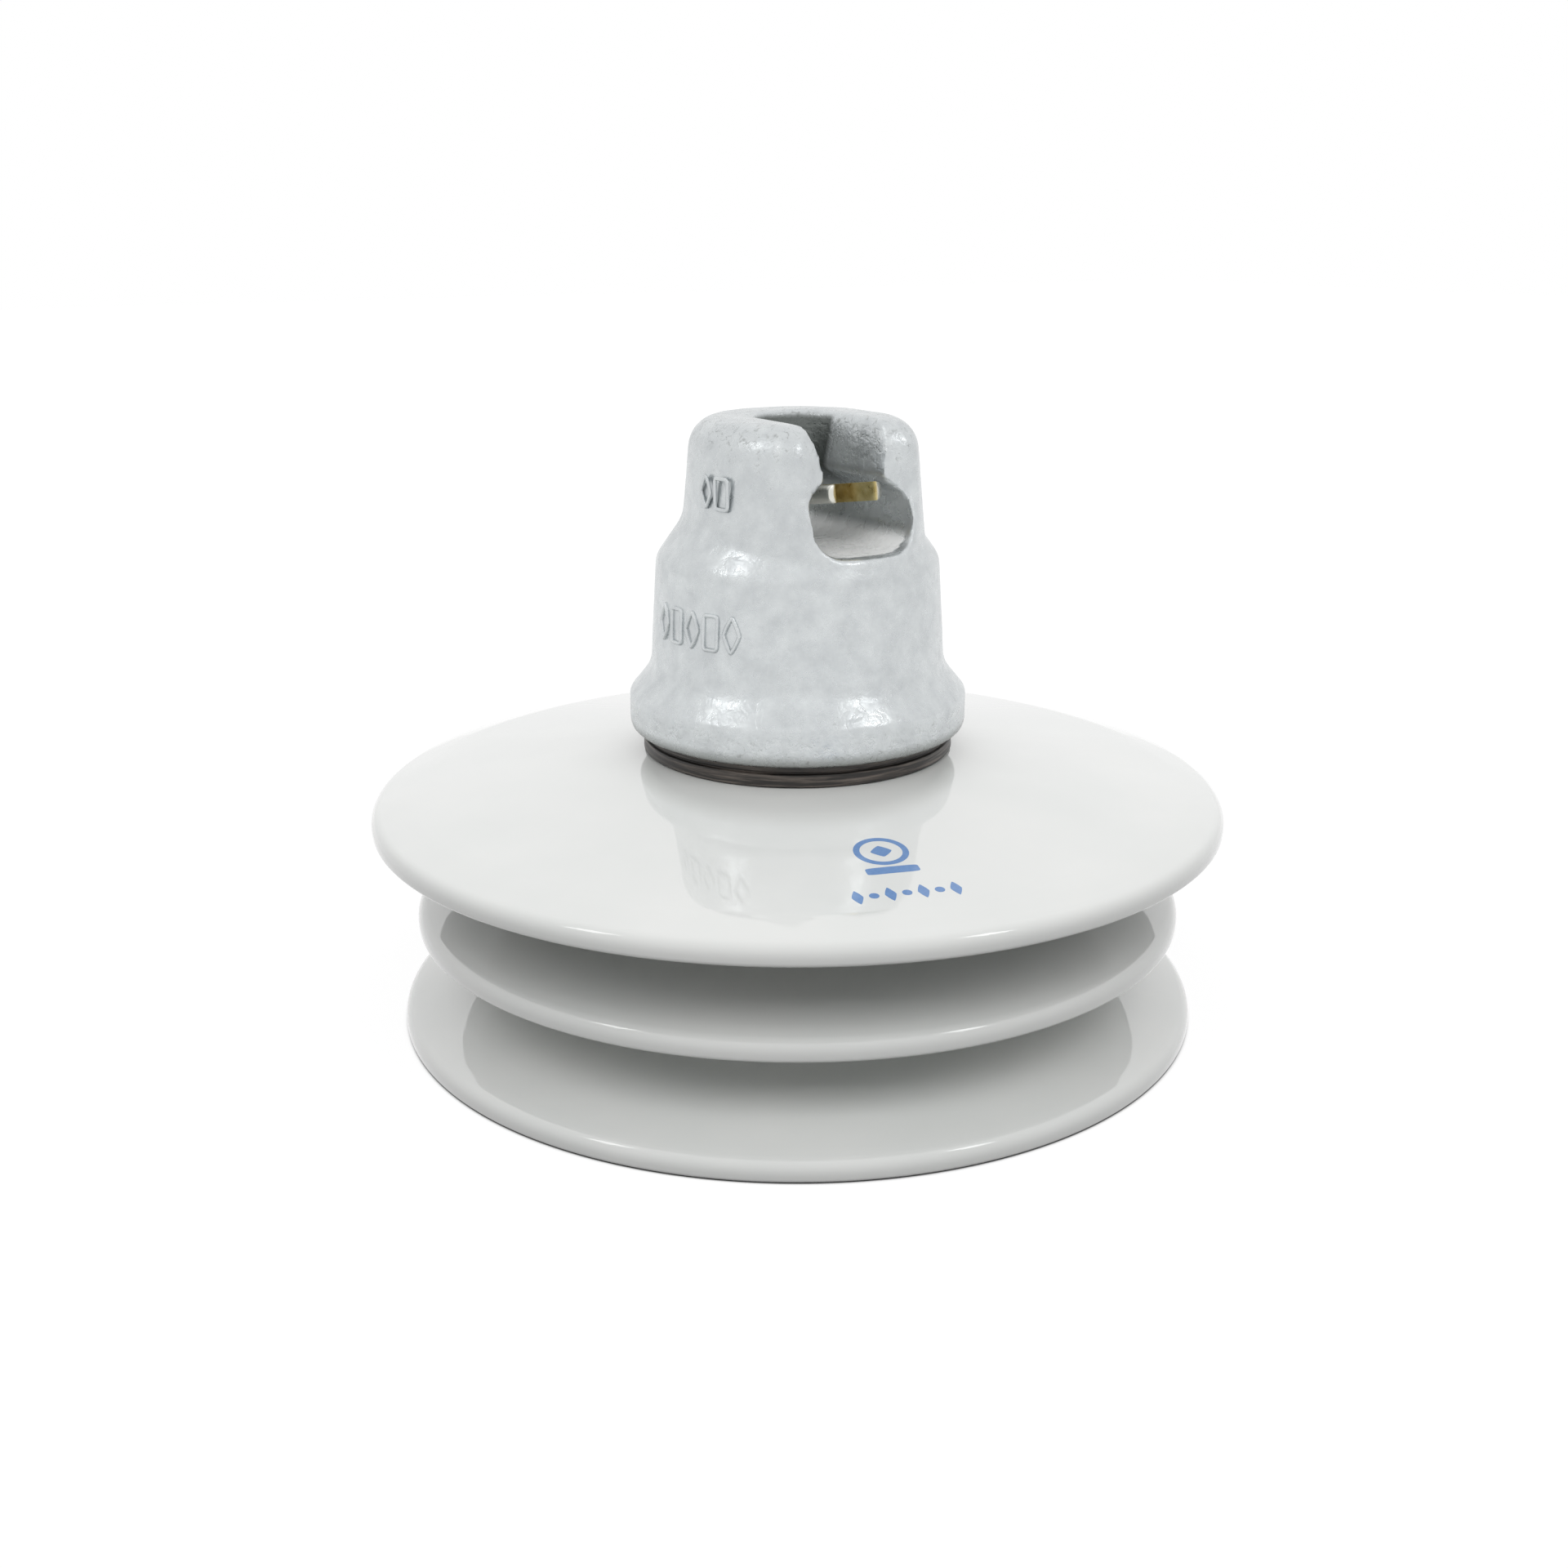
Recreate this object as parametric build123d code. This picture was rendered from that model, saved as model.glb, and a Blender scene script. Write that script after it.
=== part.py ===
from build123d import *
import os
from math import asin, cos, radians, sin, sqrt

# Cap and pin suspension insulator: a porcelain shell with three plain sheds, an iron cap with a
# ball socket cemented over its head, and a steel pin with a ball end cemented into its hole.
# Millimetres, +Z up. The origin is the centre of the circle that the lowest rim stands on, and
# the socket opens towards -Y. Outlines of turned pieces are (radius, height) points.

# Ball and socket coupling
spacing = 155.0  # from the socket's seat down to the ball's shoulder
shank_r = 10.5
ball_r = 20.5
ball_height = 19.5
ball_band = 7.0  # the ball's upright band, before its edges are rounded
ball_cone = 5.0  # the height under that band
neck_half = 12.0  # half the width of the slot that the shank passes through
chamber_half = 21.5  # half the width of the space for the ball
seat_z = 211.0
seat_drop = 6.5  # from the slot out to the chamber wall
chamber_floor = 185.5
chamber_round = 13.0  # the lower corners of the chamber
mouth_round = 5.0  # on every edge where the slot and the chamber open out of the cap
slot_taper = 4.5  # by which each side of the slot leans out at the top

# Sheds, from the lowest to the top one
shed_r = (157.0, 150.0, 165.0)
shed_z = (0.0, 39.9, 80.0)  # underside of each rim
rim_height = 7.0
rim_width = 16.0  # the stretch where the upper face turns down to the rim
rim_drop = 4.1
rim_top_round = 4.0
rim_foot_round = 3.7
rim_foot_width = 8.5  # the flat stretch that a rim stands on

# Shell
head_r = 42.0
head_top = 170.5
hole_r = 27.5
hole_top = 156.5
hole_mouth = 92.0
lower_neck_r = 95.0
upper_neck_r = 88.0

# Cap
cap_foot = 112.4
cap_top = 231.6
cap_rim_r = 65.2
crown_r = 40.0  # where the lines of the top and the neck would meet
crown_round = 12.5
neck_r = 43.4  # at its foot, above the shoulder
neck_foot = 194.0
mouth_reach = 8.0  # by which the neck stands further out on the side of the slot
mouth_slimmer = 0.4
cap_ceiling = 176.5  # top of the space for the head

# Pin, pads and cement
pin_top = 150.0
pad_height = 3.0
head_pad_r = 29.0
foot_r = 18.0  # the pin's foot in the cement, and the pad over it
collar_r = 60.2

# Split pin
wire_r = 3.4  # each leg is half of a round wire
leg_gap = 0.4
pin_hole_r = 3.9
pin_hole_length = 80.0  # half of it lies behind the start of the legs
pin_tilt = radians(8.5)  # it rises towards the slot
pin_start_y = 49.5  # where its legs part into the eye, behind the cap
pin_start_z = 193.8
eye_r = 4.0  # inside the eye
eye_bend_r = 5.0  # where the legs part into the eye
left_leg = 78.5
right_leg = 57.0  # up to its bend
splay = radians(20)
splay_r = 12.0
splay_length = 29.0


def turned(points, radii):
    """A solid turned about Z from a closed outline whose corners have the given radii."""
    outline = FilletPolyline(*points, radius=radii, close=True)
    return revolve(Plane.XZ * make_face(outline), Axis.Z)


def corners(*entries):
    """Splits (radius, height, rounding) entries into points and roundings."""
    return [entry[:2] for entry in entries], [entry[2] for entry in entries]


def shed(index, root_top, root_foot):
    """Outline entries of one shed, from its upper root round the rim to its lower root."""
    outer, foot = shed_r[index], shed_z[index]
    return (
        root_top,
        (outer - rim_width, foot + rim_height + rim_drop, 60),
        (outer, foot + rim_height, rim_top_round),
        (outer, foot, rim_foot_round),
        (outer - rim_foot_width, foot, 8),
        root_foot,
    )


def porcelain_shell():
    """Head, three sheds and the bell under them, turned as one piece, with the pin's hole."""
    top = shed(2, (head_r + 1, 106.8, 9), (upper_neck_r, 86.5, 9))
    middle = shed(1, (upper_neck_r, 64, 9), (lower_neck_r, 46, 8))
    lowest = shed(0, (lower_neck_r, 23.5, 8), (104, 8.5, 60))
    head = ((0, head_top, 0), (head_r, head_top, 9))
    bell = (
        (80, 17, 22),
        (66, 62, 40),
        (57, 86.5, 9),
        (hole_r + 4, 88.5, 3),
        (hole_r, hole_mouth, 3),
        (hole_r, hole_top, 12),
        (0, hole_top, 0),
    )
    return turned(*corners(*head, *top, *middle, *lowest, *bell))


def cap_cavity():
    """The space inside the cap, with two ledges that key the cement."""
    return turned(*corners(
        (0, cap_ceiling, 0),
        (46.5, cap_ceiling, 9),
        (48, 163, 0),
        (46, 160, 0),
        (48.5, 151, 0),
        (46.5, 148, 0),
        (49.5, 138, 4),
        (57, 124, 4),
        (55, cap_foot, 0),
        (0, cap_foot, 0),
    ))


def socket_space():
    """The slot for the shank over the chamber for the ball, open upwards and towards -Y."""
    outline = corners(
        (0, chamber_floor, 0),
        (chamber_half, chamber_floor, chamber_round),
        (chamber_half, seat_z - seat_drop, 4),
        (neck_half, seat_z, 3),
        (neck_half + slot_taper, cap_top + 1, 0),
        (0, cap_top + 1, 0),
    )
    section = make_face(FilletPolyline(*outline[0], radius=outline[1], close=True))
    run = extrude(Plane.XZ * (section + mirror(section, Plane.YZ)), cap_rim_r)
    return turned(*outline) + run


def pin_line():
    """Frame at the start of the split pin's legs: X along them to the slot, Y to the right."""
    along = (0, -cos(pin_tilt), sin(pin_tilt))
    upward = (0, sin(pin_tilt), cos(pin_tilt))
    return Plane((0, pin_start_y, pin_start_z), x_dir=along, z_dir=upward)


def neck_mouth():
    """The stretch by which the neck stands out round the slot, a little slimmer than the neck."""
    outline = corners(
        (0, cap_top, 0),
        (crown_r - mouth_slimmer, cap_top, crown_round),
        (neck_r - mouth_slimmer, neck_foot, 60),
        (neck_r - mouth_slimmer + 1.5, 178, 0),
        (0, 178, 0),
    )
    section = make_face(FilletPolyline(*outline[0], radius=outline[1], close=True))
    sides = extrude(Plane.XZ * (section + mirror(section, Plane.YZ)), mouth_reach)
    return Pos(0, -mouth_reach, 0) * turned(*outline) + sides


def cap():
    """Cast cap: tapered neck round the socket, shoulder, body and flared rim."""
    body = turned(*corners(
        (0, cap_top, 0),
        (crown_r, cap_top, crown_round),
        (neck_r, neck_foot, 14),
        (54, 179, 9),
        (56.6, 137.7, 14),
        (cap_rim_r, 127.2, 5),
        (cap_rim_r, cap_foot, 5.5),
        (0, cap_foot, 0),
    ))
    body += neck_mouth()
    space = socket_space()
    opened = body - space
    opened = fillet(new_edges(body, space, combined=opened), mouth_round)
    pin_hole = pin_line() * Rot(0, 90, 0) * Cylinder(pin_hole_r, pin_hole_length)
    return opened - cap_cavity() - pin_hole


def cap_cushion():
    """Pad between the top of the head and the cap."""
    return Pos(0, 0, head_top + pad_height / 2) * Cylinder(head_pad_r, pad_height)


def cap_cement(shell, cushion):
    """Cement that fills the cap round the head and stands out under it as a painted collar."""
    collar = turned(*corners(
        (0, cap_foot, 0),
        (collar_r - 0.7, cap_foot, 0),
        (collar_r - 0.7, 110.2, 0),
        (collar_r - 1.5, 109.6, 0),
        (collar_r, 109, 0),
        (collar_r, 99, 0),
        (0, 99, 0),
    ))
    return (cap_cavity() + collar - shell - cushion).solids().sort_by(SortBy.VOLUME)[-1]


def pin():
    """Forged pin: ball end, shank, and a ridged foot that the cement holds."""
    ball_top = seat_z - spacing
    ball_foot = ball_top - ball_height
    band_foot = ball_foot + ball_cone
    return turned(*corners(
        (0, ball_foot, 0),
        (15.5, ball_foot, 4),
        (ball_r, band_foot, 3),
        (ball_r, band_foot + ball_band, 3),
        (shank_r, ball_top, 3),
        (shank_r, 108, 4),
        (15, 122, 1),
        (13, 123.5, 1),
        (16.5, 134, 1),
        (14.5, 135.5, 1),
        (foot_r, 146, 1),
        (foot_r, pin_top, 1.5),
        (0, pin_top, 0),
    ))


def pin_cushion():
    """Pad over the pin's foot, which lets it grow without splitting the head."""
    return Pos(0, 0, pin_top + pad_height / 2) * Cylinder(foot_r, pad_height)


def pin_cement(shell, steel, cushion):
    """Cement that fills the shell's hole round the pin."""
    fill = turned(*corners(
        (0, 96, 0),
        (hole_r + 5, 94, 0),
        (hole_r + 5, hole_top + 2, 0),
        (0, hole_top + 2, 0),
    ))
    return (fill - shell - steel - cushion).solids().sort_by(SortBy.VOLUME)[-1]


def split_pin():
    """Half-round wire folded into an eye and two legs, the right one bent aside at its end."""
    near = leg_gap / 2
    bend_y = near + eye_bend_r
    reach = eye_r + eye_bend_r
    eye_x = -sqrt(reach**2 - bend_y**2)
    share = eye_r / reach
    touch = (eye_x * (1 - share), bend_y * share)
    half_turn = asin(-eye_x / reach) / 2
    middle = (-eye_bend_r * sin(half_turn), bend_y - eye_bend_r * cos(half_turn))
    arc_end = (right_leg + splay_r * sin(splay), near + splay_r * (1 - cos(splay)))
    arc_middle = (right_leg + splay_r * sin(splay / 2), near + splay_r * (1 - cos(splay / 2)))
    tip = (arc_end[0] + splay_length * cos(splay), arc_end[1] + splay_length * sin(splay))
    flat_side = Wire([
        Line((left_leg, -near), (0, -near)).edge(),
        ThreePointArc((0, -near), (middle[0], -middle[1]), (touch[0], -touch[1])).edge(),
        ThreePointArc((touch[0], -touch[1]), (eye_x - eye_r, 0), touch).edge(),
        ThreePointArc(touch, middle, (0, near)).edge(),
        Line((0, near), (right_leg, near)).edge(),
        ThreePointArc((right_leg, near), arc_middle, arc_end).edge(),
        Line(arc_end, tip).edge(),
    ])
    half_round = make_face(CenterArc((0, 0), wire_r, -90, 180) + Line((0, -wire_r), (0, wire_r)))
    start = Plane((left_leg, -near), x_dir=(0, -1, 0), z_dir=(-1, 0, 0))
    return pin_line() * sweep(start * half_round, path=flat_side)


shell, steel = porcelain_shell(), pin()
head_pad, foot_pad = cap_cushion(), pin_cushion()
pieces = {
    "porcelain_shell": shell,
    "cap": cap(),
    "cap_cushion": head_pad,
    "cap_cement": cap_cement(shell, head_pad),
    "pin": steel,
    "pin_cushion": foot_pad,
    "pin_cement": pin_cement(shell, steel, foot_pad),
    "split_pin": split_pin(),
}

os.makedirs("parts", exist_ok=True)
for name, piece in pieces.items():
    piece.label = name
    export_step(piece, f"parts/{name}.step")
    print(name, piece.is_valid, round(piece.volume), piece.bounding_box().size)
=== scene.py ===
from math import cos, pi, radians, sin
import bmesh
import bpy
import numpy as np
from mathutils import Euler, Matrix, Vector


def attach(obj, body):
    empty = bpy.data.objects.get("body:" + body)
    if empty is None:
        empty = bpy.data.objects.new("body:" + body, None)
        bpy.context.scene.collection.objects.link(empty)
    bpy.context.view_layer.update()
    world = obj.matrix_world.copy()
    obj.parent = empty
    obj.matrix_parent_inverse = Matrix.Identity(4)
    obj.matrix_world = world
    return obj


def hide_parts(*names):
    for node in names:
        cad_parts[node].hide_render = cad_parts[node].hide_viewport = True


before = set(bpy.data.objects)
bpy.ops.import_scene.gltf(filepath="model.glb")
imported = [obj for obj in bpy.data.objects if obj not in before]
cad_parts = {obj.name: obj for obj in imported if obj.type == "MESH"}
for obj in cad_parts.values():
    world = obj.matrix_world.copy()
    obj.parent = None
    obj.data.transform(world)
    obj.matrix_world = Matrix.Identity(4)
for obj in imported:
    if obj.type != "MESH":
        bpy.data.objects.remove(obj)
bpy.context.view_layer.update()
mm = 0.001


def toLinear(hexCode):
    # each sRGB channel to linear: c/12.92 near black, else ((c+0.055)/1.055) to the power 2.4
    channels = [int(hexCode[i:i + 2], 16) / 255 for i in (0, 2, 4)]
    linear = [c / 12.92 if c <= 0.04045 else ((c + 0.055) / 1.055) ** 2.4 for c in channels]
    return (*linear, 1.0)


def addNode(tree, kind, settings=None, **links):
    # one node, its settings by attribute or socket name, its links as socket name = source socket
    node = tree.nodes.new(kind)
    for key, value in (settings or {}).items():
        if isinstance(key, str) and hasattr(node, key):
            setattr(node, key, value)
        else:
            node.inputs[key].default_value = value
    for key, source in links.items():
        name = key.replace("_", " ")
        target = node.inputs[int(key[1:])] if key[0] == "i" and key[1:].isdigit() else node.inputs[name]
        tree.links.new(source, target)
    return node


def newMaterial(name):
    material = bpy.data.materials.new(name)
    material.use_nodes = True
    tree = material.node_tree
    shader = tree.nodes["Principled BSDF"]
    where = tree.nodes.new("ShaderNodeTexCoord").outputs["Object"]
    return material, tree, shader, where


def twoTones(tree, source, first, second, start=0.0, end=1.0):
    # a colour that runs from one sRGB tone at start to another at end
    ramp = addNode(tree, "ShaderNodeValToRGB", Fac=source)
    for stop, place, tone in zip(ramp.color_ramp.elements, (start, end), (first, second)):
        stop.position, stop.color = place, toLinear(tone)
    return ramp.outputs[0]


def roundedOutline(corners, step):
    # straight runs joined by arcs: each (radius, height, rounding) corner becomes an arc that
    # touches both its runs, sampled about every step mm
    pts = np.array([c[:2] for c in corners], float)
    out = [pts[0]]
    for before, here, after, rounding in zip(pts[:-2], pts[1:-1], pts[2:], [c[2] for c in corners[1:-1]]):
        a, b = before - here, after - here
        a, b = a / np.hypot(*a), b / np.hypot(*b)
        halfAngle = np.arccos(np.clip(a @ b, -1, 1)) / 2
        if rounding == 0 or halfAngle > pi / 2 - 0.001:
            out.append(here)
            continue
        reach = rounding / np.tan(halfAngle)
        centre = here + (a + b) / np.hypot(*(a + b)) * rounding / np.sin(halfAngle)
        start, end = here + a * reach - centre, here + b * reach - centre
        turn = np.arctan2(start[0] * end[1] - start[1] * end[0], start @ end)
        angles = np.linspace(0, turn, max(int(abs(turn) * rounding / step), 6) + 1)[:, None]
        out.extend(centre + start * np.cos(angles) + np.array([-start[1], start[0]]) * np.sin(angles))
    out.append(pts[-1])
    return np.array(out)


def evenly(line, step):
    # points added on long runs, so that no gap is over step mm
    out = [line[:1]]
    for a, b in zip(line[:-1], line[1:]):
        count = max(int(np.ceil(np.hypot(*(b - a)) / step)), 1)
        out.append(a + (b - a) * (np.arange(1, count + 1) / count)[:, None])
    return np.concatenate(out)


def gridMesh(name, points, wrapU=False, wrapV=False):
    # a rows x columns grid of points in metres to a quad mesh, closed along either way if asked
    rows, cols = points.shape[:2]
    i = np.arange(rows if wrapU else rows - 1)[:, None]
    j = np.arange(cols if wrapV else cols - 1)[None, :]
    i2, j2 = (i + 1) % rows, (j + 1) % cols
    quads = np.stack([i * cols + j, i * cols + j2, i2 * cols + j2, i2 * cols + j], -1).reshape(-1, 4)
    mesh = bpy.data.meshes.new(name)
    mesh.vertices.add(rows * cols)
    mesh.vertices.foreach_set("co", points.reshape(-1))
    mesh.loops.add(quads.size)
    mesh.loops.foreach_set("vertex_index", quads.reshape(-1))
    mesh.polygons.add(len(quads))
    mesh.polygons.foreach_set("loop_start", np.arange(0, quads.size, 4))
    mesh.polygons.foreach_set("loop_total", np.full(len(quads), 4))
    mesh.update()
    mesh.validate()
    return mesh


def joinedMesh(name, grids):
    # closed grids of points in mm as one mesh, faces outwards
    bm = bmesh.new()
    for grid in grids:
        part = gridMesh("part", grid * mm, wrapU=True, wrapV=True)
        bm.from_mesh(part)
        bpy.data.meshes.remove(part)
    bmesh.ops.recalc_face_normals(bm, faces=bm.faces)
    mesh = bpy.data.meshes.new(name)
    bm.to_mesh(mesh)
    bm.free()
    return mesh


def addPiece(name, mesh, material, body="insulator", smooth=True):
    piece = bpy.data.objects.new(name, mesh)
    bpy.context.scene.collection.objects.link(piece)
    mesh.materials.clear()
    mesh.materials.append(material)
    mesh.polygons.foreach_set("use_smooth", np.full(len(mesh.polygons), smooth))
    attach(piece, body)
    return piece


def mergeAndTurnOut(mesh):
    # poles and seams closed, faces outwards
    bm = bmesh.new()
    bm.from_mesh(mesh)
    bmesh.ops.remove_doubles(bm, verts=bm.verts, dist=0.00001)
    bmesh.ops.recalc_face_normals(bm, faces=bm.faces)
    bm.to_mesh(mesh)
    bm.free()


def latheMesh(name, outline, segments, wobble=None):
    # a (radius, height) outline carried round Z; wobble(angle, radius, height) gives radii to add
    angle = np.linspace(0, 2 * pi, segments, endpoint=False)[:, None]
    radius, height = outline[None, :, 0], outline[None, :, 1]
    if wobble is not None:
        radius = radius + wobble(angle, radius, height)
    points = np.stack([radius * np.cos(angle), radius * np.sin(angle), height + 0 * angle], -1)
    mesh = gridMesh(name, points * mm, wrapU=True)
    mergeAndTurnOut(mesh)
    return mesh


def stadiumMesh(name, outline, segments, reach):
    # a (radius, height) outline carried round Z, its front half moved towards -Y by reach, so that
    # straight walls join the two half turns
    half = np.linspace(0, pi, segments // 2 + 1)
    angle = np.concatenate([half, pi + half])[:, None]
    moved = np.repeat([0.0, reach], len(half))[:, None]
    radius, height = outline[None, :, 0], outline[None, :, 1]
    points = np.stack([radius * np.cos(angle), radius * np.sin(angle) - moved, height + 0 * angle], -1)
    mesh = gridMesh(name, points * mm, wrapU=True)
    mergeAndTurnOut(mesh)
    return mesh


def stadiumRadius(points, reach):
    # the distance from the stadium's middle line, which runs from the Z axis to reach along -Y
    across, along = points[:, 0], points[:, 1]
    return np.hypot(across, np.where(along > 0, along, np.minimum(along + reach, 0)))


def distanceToOutline(radius, height, outline):
    # each point's distance to the nearest point of a densely sampled (radius, height) outline
    return np.sqrt(np.min((radius[:, None] - outline[None, :, 0]) ** 2
                          + (height[:, None] - outline[None, :, 1]) ** 2, axis=1))


def latticeNoise(points, grain, seed):
    # smooth noise from -1 to 1: random values on a lattice of grain mm, eased between neighbours
    table = np.random.default_rng(seed).uniform(-1, 1, (32, 32, 32))
    place = points / grain
    cell = np.floor(place).astype(int)
    part = place - cell
    part = part * part * (3 - 2 * part)
    total = np.zeros(len(points))
    for corner in np.ndindex(2, 2, 2):
        at = (cell + corner) % 32
        share = np.prod(np.where(corner, part, 1 - part), axis=1)
        total += share * table[at[:, 0], at[:, 1], at[:, 2]]
    return total


def getPoints(mesh):
    points = np.empty(len(mesh.vertices) * 3)
    mesh.vertices.foreach_get("co", points)
    return points.reshape(-1, 3)


def getNormals(mesh):
    normals = np.empty(len(mesh.vertices) * 3)
    mesh.vertex_normals.foreach_get("vector", normals)
    return normals.reshape(-1, 3)


def setPoints(mesh, points):
    mesh.vertices.foreach_set("co", points.reshape(-1))
    mesh.update()


def applyModifiers(piece):
    depsgraph = bpy.context.evaluated_depsgraph_get()
    solid = bpy.data.meshes.new_from_object(piece.evaluated_get(depsgraph))
    piece.modifiers.clear()
    old, piece.data = piece.data, solid
    bpy.data.meshes.remove(old)
    return solid


def combine(piece, tool, operation):
    # a boolean with a second closed mesh, which is thrown away afterwards
    other = bpy.data.objects.new("tool", tool)
    bpy.context.scene.collection.objects.link(other)
    step = piece.modifiers.new("combine", "BOOLEAN")
    step.operation, step.object, step.solver = operation, other, "EXACT"
    applyModifiers(piece)
    bpy.data.objects.remove(other)
    bpy.data.meshes.remove(tool)


def awayFrom(azimuth, elevation):
    # the unit vector out from the object: azimuth is turned from -Y towards +X, elevation is over
    # the floor, both in degrees
    turn, tilt = radians(azimuth), radians(elevation)
    return Vector((sin(turn) * cos(tilt), -cos(turn) * cos(tilt), sin(tilt)))


# lengths here are in metres, the lens in mm and angles in degrees
camera = {
    "azimuth": -33, "pitch": 17.8, "distance": 0.7023, "height": 0.0871, "lens": 40.7, "shiftX": -0.0086,
}


def makeCamera(c):
    data = bpy.data.cameras.new("camera")
    data.lens, data.shift_x = c["lens"], c["shiftX"]
    eye = bpy.data.objects.new("camera", data)
    eye.location = Vector((0, 0, c["height"])) + awayFrom(c["azimuth"], c["pitch"]) * c["distance"]
    eye.rotation_euler = Euler((pi / 2 - radians(c["pitch"]), 0, radians(c["azimuth"])))
    bpy.context.scene.collection.objects.link(eye)
    bpy.context.scene.camera = eye


# azimuths are counted as the camera's is; power is in watts; only the mirrored panels show in gloss
aimHeight = 0.1
lamps = {
    "front": {"azimuth": -30, "elevation": 46, "distance": 1.8, "size": (3.8, 0.8), "power": 23.5,
              "mirrored": False},
    "back": {"azimuth": 150, "elevation": 48, "distance": 1.8, "size": (2.4, 0.8), "power": 7.0,
             "mirrored": False},
    "frontLeft": {"azimuth": -97, "elevation": 46, "distance": 1.5, "size": (0.22, 0.3), "power": 0.6,
                  "mirrored": True},
    "frontRight": {"azimuth": 25, "elevation": 46, "distance": 1.5, "size": (0.22, 0.3), "power": 0.7,
                   "mirrored": True},
}


def makeLamp(name, lamp):
    back = awayFrom(lamp["azimuth"], lamp["elevation"])
    data = bpy.data.lights.new(name, "AREA")
    data.shape, (data.size, data.size_y) = "RECTANGLE", lamp["size"]
    data.energy = lamp["power"]
    panel = bpy.data.objects.new(name, data)
    panel.location = back * lamp["distance"] + Vector((0, 0, aimHeight))
    panel.rotation_euler = back.to_track_quat("Z", "Y").to_euler()
    panel.visible_glossy = lamp["mirrored"]
    bpy.context.scene.collection.objects.link(panel)


surroundings = {
    "dome": 0.54, "horizon": 0.1, "domeFoot": 0.2, "domeFull": 0.5, "floorTone": "606060",
    "openFloor": 0.92, "farFloor": 1.0, "blendFrom": 0.4, "blendTo": 1.3, "floorHalf": 6.0,
    "crevice": 5.0, "creviceDark": 0.25, "creviceClear": 0.6,
}


def seenOrMirrored(tree):
    # 1 for rays from the camera and for those that a mirror or glass sends on, else 0
    seen = addNode(tree, "ShaderNodeLightPath")
    either = addNode(tree, "ShaderNodeMath", {"operation": "MAXIMUM"},
                     i0=seen.outputs["Is Camera Ray"], i1=seen.outputs["Is Glossy Ray"])
    return addNode(tree, "ShaderNodeMath", {"operation": "MAXIMUM"},
                   i0=either.outputs[0], i1=seen.outputs["Is Transmission Ray"]).outputs[0]


def makeWorld(s):
    # white where it is looked at or mirrored; as light on the object, a dome that is bright from
    # domeFull up (the sine of the height over the horizon) and nearly dark below domeFoot
    world = bpy.data.worlds.new("studio")
    world.use_nodes = True
    tree = world.node_tree
    toward = addNode(tree, "ShaderNodeTexCoord")
    upward = addNode(tree, "ShaderNodeSeparateXYZ", i0=toward.outputs["Generated"])
    dome = addNode(tree, "ShaderNodeMapRange",
                   {"interpolation_type": "SMOOTHSTEP", "From Min": s["domeFoot"], "From Max": s["domeFull"],
                    "To Min": s["horizon"], "To Max": s["dome"]}, Value=upward.outputs["Z"])
    level = addNode(tree, "ShaderNodeMix", {3: 1.0}, i0=seenOrMirrored(tree), i2=dome.outputs[0])
    tree.links.new(level.outputs[0], tree.nodes["Background"].inputs["Strength"])
    tree.nodes["Background"].inputs["Color"].default_value = toLinear("ffffff")
    bpy.context.scene.world = world


def makeFloor(s):
    # a plain sheet that looks white, throws little light back, and has a painted contact shadow: its glow
    # darkens in the crevice under the rim
    half = s["floorHalf"]
    mesh = gridMesh("floor", half * np.array([[(-1.0, -1, 0), (1, -1, 0)], [(-1, 1, 0), (1, 1, 0)]]))
    floor = bpy.data.objects.new("floor", mesh)
    bpy.context.scene.collection.objects.link(floor)
    material, tree, shader, where = newMaterial("pale studio floor")
    shader.inputs["Base Color"].default_value = toLinear(s["floorTone"])
    shader.inputs["Roughness"].default_value = 1.0
    shader.inputs["Specular IOR Level"].default_value = 0.0
    out = addNode(tree, "ShaderNodeVectorMath", {"operation": "LENGTH"}, i0=where)
    white = addNode(tree, "ShaderNodeMapRange",
                    {"From Min": s["blendFrom"], "From Max": s["blendTo"], "To Min": s["openFloor"],
                     "To Max": s["farFloor"]}, Value=out.outputs["Value"])
    # painted shadow: the white glow is dimmed where the ambient occlusion finds the rim close by
    nook = addNode(tree, "ShaderNodeAmbientOcclusion", {"samples": 16, "Distance": s["crevice"] * mm})
    clear = addNode(tree, "ShaderNodeMapRange", {"From Min": s["creviceDark"], "From Max": s["creviceClear"]},
                    Value=nook.outputs["AO"])
    white = addNode(tree, "ShaderNodeMath", {"operation": "MULTIPLY"},
                    i0=white.outputs[0], i1=clear.outputs[0])
    lift = addNode(tree, "ShaderNodeMath", {"operation": "MULTIPLY"},
                   i0=white.outputs[0], i1=seenOrMirrored(tree))
    glow = addNode(tree, "ShaderNodeEmission", Strength=lift.outputs[0])
    both = addNode(tree, "ShaderNodeAddShader", i0=shader.outputs[0], i1=glow.outputs[0])
    tree.links.new(both.outputs[0], tree.nodes["Material Output"].inputs["Surface"])
    mesh.materials.append(material)


makeCamera(camera)
for lampName, lamp in lamps.items():
    makeLamp(lampName, lamp)
makeWorld(surroundings)
makeFloor(surroundings)
print("stage: camera, lights and floor")


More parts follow.
